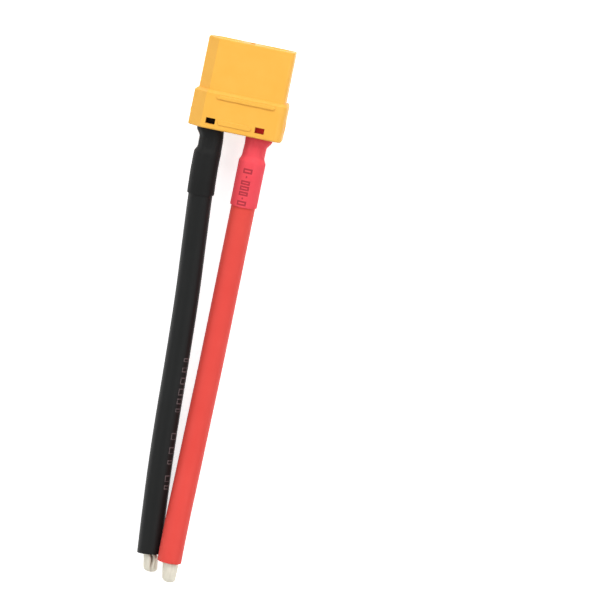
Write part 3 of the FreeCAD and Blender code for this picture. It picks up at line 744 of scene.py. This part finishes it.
# Tinned ends
# The strands, stripped of 4 mm of insulation, twisted and dipped in solder, which froze as
# a blunt bead. The black wire's strands are split by a deep groove, the red one's are full.

TIP_LENGTH = {"negative": 4.2 * MM, "positive": 4.65 * MM}
TIP_RADIUS = {"negative": 1.62 * MM, "positive": 1.76 * MM}
# Which share of the radius is gone at the far end, and how far inside the cut they start.
TIP_TAPER = {"negative": 0.05, "positive": 0.2}
TIP_ROOT = 0.2 * MM
# How far towards the positive side they lie once they are out of the insulation, how much
# more at the far end, and the length in which they bend over to there.
TIP_ASIDE = {"negative": (0.4 * MM, 0.35 * MM), "positive": (0.35 * MM, 0.3 * MM)}
TIP_BEND = 0.9 * MM
# The length of the blunt far end, and how high the solder's lumps are.
TIP_DOME = 1.1 * MM
TIP_LUMPS = 0.07 * MM
TIP_AROUND = 120
TIP_STEPS = 48
TIP_SEEDS = {"negative": 0.6, "positive": 2.3}
# How deep the groove is, how far from the top towards the positive side it lies, how far it
# spreads to each side and how far it sways, the last three as turns in radians.
GROOVE_DEPTH = {"negative": 0.75 * MM, "positive": 0.1 * MM}
GROOVE_TURN = 0.24
GROOVE_WIDTH = 0.2
GROOVE_SWAY = 0.09
# Each half turn holds this many ridges, which turn by so many radians a millimetre.
STRAND_RIDGES = 13
STRAND_TWIST = 0.25
VALLEY_DEPTH = 0.03 * MM


def dipped_solder():
    """Solder over twisted strands: cream white and half dull. The groove is painted dark brown by
    its depth, as painted shade and as the flux left there. The strands show through it as soft
    lines along the end, about 0.2 mm wide."""
    finish, tree, surface = new_finish("solder_dipped_strands", Metallic=0.3)
    place = add(tree, "ShaderNodeTexCoord").outputs["Object"]
    streak = add(tree, "ShaderNodeMapping", {"Vector": place, "Scale": (1.0, 0.2, 1.0)})
    lines_along = add(tree, "ShaderNodeTexNoise", {
        "Vector": streak.outputs["Vector"], "Scale": 1 / (0.4 * MM), "Detail": 3.0})
    tin = add(tree, "ShaderNodeMix", {
        "Factor": lines_along.outputs["Fac"], 6: linear("#d2ccba"), 7: linear("#eae5d6"),
    }, data_type="RGBA")
    # Painted shade: the deeper in the groove, the more the tin turns dark brown, which also stands
    # for flux left there.
    hollow = add(tree, "ShaderNodeAttribute", attribute_name="hollow")
    colour = add(tree, "ShaderNodeMix", {
        "Factor": hollow.outputs["Fac"], 6: tin.outputs[2], 7: linear("#5c4036"),
    }, data_type="RGBA")
    tree.links.new(colour.outputs[2], surface.inputs["Base Color"])
    gloss = add(tree, "ShaderNodeMapRange", {
        "Value": lines_along.outputs["Fac"], "To Min": 0.56, "To Max": 0.4})
    tree.links.new(gloss.outputs["Result"], surface.inputs["Roughness"])
    bump = add(tree, "ShaderNodeBump", {
        "Height": lines_along.outputs["Fac"], "Strength": 0.25, "Distance": 0.03 * MM})
    tree.links.new(bump.outputs["Normal"], surface.inputs["Normal"])
    return finish


def dipped_strands(name, pole):
    """The dipped end, straight, with its length along Y: faint ridges of the strands that
    turn a little on the way, one groove along the top, a slight taper and a blunt dome.
    Each corner holds how deep in the groove it lies, for the painted shade there."""
    made = bmesh.new()
    hollow = made.verts.layers.float.new("hollow")
    rings = []
    length, seed = TIP_LENGTH[pole], TIP_SEEDS[pole]
    over, further = TIP_ASIDE[pole]
    for i in range(TIP_STEPS + 1):
        along = -TIP_ROOT + (length + TIP_ROOT) * i / TIP_STEPS
        out = max(0.0, along / length)
        dome = max(0.0, (along - (length - TIP_DOME)) / TIP_DOME)
        aside = over * smooth((along + TIP_ROOT) / TIP_BEND) + further * out
        ring = []
        for k in range(TIP_AROUND):
            turn = 2 * math.pi * k / TIP_AROUND
            across, up = math.sin(turn), math.cos(turn)
            lump = noise.noise(Vector((across * 1.4, along / (1.6 * MM) + seed, up * 1.4)))
            off = (turn + math.pi) % (2 * math.pi) - math.pi + GROOVE_TURN
            off += GROOVE_SWAY * math.sin(along / (0.7 * MM))
            groove = math.exp(-(off / GROOVE_WIDTH) ** 2) * (1 - 0.75 * out)
            lay = turn - STRAND_TWIST * along / MM + seed
            valley = abs(math.sin(lay * STRAND_RIDGES))
            r = TIP_RADIUS[pole] * (1 - TIP_TAPER[pole] * out ** 1.6) + TIP_LUMPS * lump
            r -= GROOVE_DEPTH[pole] * groove + VALLEY_DEPTH * valley
            r *= math.sqrt(max(0.0, 1 - dome ** 2.6))
            if i == TIP_STEPS:
                r = 0.0
            corner = made.verts.new((r * across - aside, along, r * up))
            # How deep in the groove the corner lies, which the finish paints as shade.
            corner[hollow] = groove * GROOVE_DEPTH[pole] / GROOVE_DEPTH["negative"]
            ring.append(corner)
        rings.append(ring)
    for ring, after in zip(rings, rings[1:]):
        for k in range(TIP_AROUND):
            beside = (k + 1) % TIP_AROUND
            made.faces.new((ring[k], ring[beside], after[beside], after[k]))
    made.faces.new(rings[0])
    bmesh.ops.remove_doubles(made, verts=made.verts, dist=1e-6)
    bmesh.ops.recalc_face_normals(made, faces=made.faces)
    mesh = bpy.data.meshes.new(name)
    made.to_mesh(mesh)
    made.free()
    return mesh


dipped = dipped_solder()
tips = {}
for pole in POLES:
    line_end, before = centres[pole][-1], centres[pole][-2]
    heading = (line_end - before).normalized()
    side_way = heading.cross(Vector((0, 0, 1))).normalized()
    turn = Matrix((side_way, heading, side_way.cross(heading))).transposed().to_4x4()
    mesh = dipped_strands(pole + "_dipped_end", pole)
    mesh.transform(Matrix.Translation(line_end) @ turn)
    mesh.shade_smooth()
    mesh.materials.append(dipped)
    tips[pole] = bpy.data.objects.new(pole + "_dipped_end", mesh)
    bpy.context.collection.objects.link(tips[pole])
    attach(tips[pole], "root")
    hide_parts(pole + "_tinned_end")

# Each wire leaves the housing at its rear face. The route curves go once the pieces lie along
# them.
for line in lines.values():
    bpy.data.objects.remove(line)


# Studio
# A plain pale table that fills the view, soft boxes left and right, one before the plug and
# a weak one beyond the wires' ends, and even white light all round. The camera looks down
# on the part from 1.2 m.

HALF_TABLE = 3
table = bpy.data.meshes.new("table")
table.from_pydata(
    [(x * HALF_TABLE, y * HALF_TABLE, 0) for x, y in ((-1, -1), (1, -1), (1, 1), (-1, 1))],
    [], [(0, 1, 2, 3)])
card, card_tree, card_surface = new_finish(
    "pale_card", Roughness=0.9, Specular_IOR_Level=0.1, Emission_Color=(1, 1, 1, 1))
card_surface.inputs["Base Color"].default_value = linear("#f4f4f4")


def looked_at(tree):
    """1 for what the camera sees, straight or in metal, and 0 for the light that falls."""
    ray = add(tree, "ShaderNodeLightPath").outputs
    straight = add(tree, "ShaderNodeMath", {
        0: ray["Is Camera Ray"], 1: ray["Is Glossy Ray"]}, operation="ADD")
    either = add(tree, "ShaderNodeMath", {
        0: straight.outputs[0], 1: ray["Is Transmission Ray"]}, operation="ADD", use_clamp=True)
    return either.outputs[0]


# Looked at, the card also glows at 0.7, so the shadow on it stays faint.
whiter = add(card_tree, "ShaderNodeMath", {
    0: looked_at(card_tree), 1: 0.7}, operation="MULTIPLY")
card_tree.links.new(whiter.outputs[0], card_surface.inputs["Emission Strength"])
table.materials.append(card)
table_object = bpy.data.objects.new("table", table)
bpy.context.collection.objects.link(table_object)


def soft_box(name, place, aim, width, depth, watts):
    """A flat lamp of a given size that hangs at a place and faces another one."""
    lamp = bpy.data.lights.new(name, "AREA")
    lamp.shape = "RECTANGLE"
    lamp.size, lamp.size_y = width, depth
    lamp.energy = watts
    stand = bpy.data.objects.new(name, lamp)
    stand.location = place
    stand.rotation_euler = (Vector(aim) - Vector(place)).to_track_quat("-Z", "Y").to_euler()
    bpy.context.collection.objects.link(stand)


middle = (0, -0.045, 0)
soft_box("left_box", (-0.58, 0.22, 0.64), middle, 0.5, 0.6, 2.7)
soft_box("right_box", (0.58, 0.22, 0.64), middle, 0.5, 0.6, 2.7)
soft_box("plug_box", (0.05, 0.66, 0.63), middle, 0.8, 0.35, 3.9)
soft_box("wire_box", (0.0, -0.78, 0.5), middle, 0.8, 0.4, 1.0)

world = bpy.data.worlds.new("studio")
world.use_nodes = True
around = world.node_tree.nodes["Background"]
around.inputs["Color"].default_value = (1, 1, 1, 1)
# The room lights the part at 0.3, and looks white behind the table.
strength = add(world.node_tree, "ShaderNodeMapRange", {
    "Value": looked_at(world.node_tree), "To Min": 0.3, "To Max": 1.0})
world.node_tree.links.new(strength.outputs["Result"], around.inputs["Strength"])
bpy.context.scene.world = world

# The camera's focal length, in pixels of the frame, was fitted to the housing's corners and
# the wires' ends, together with its place and its turn in degrees.
FOCAL_PIXELS = 5424.7
FRAME_PIXELS = 600
EYE_PLACE = (0.0533, 0.0755, 1.2)
EYE_TURN = (-4.99, 2.585, 11.63)
eye = bpy.data.cameras.new("camera")
eye.sensor_width = 36
eye.lens = FOCAL_PIXELS * eye.sensor_width / FRAME_PIXELS
eye.clip_start, eye.clip_end = 0.01, 20
viewer = bpy.data.objects.new("camera", eye)
viewer.location = EYE_PLACE
viewer.rotation_euler = [math.radians(turn) for turn in EYE_TURN]
bpy.context.collection.objects.link(viewer)
bpy.context.scene.camera = viewer
bpy.context.scene.view_settings.view_transform = "Standard"
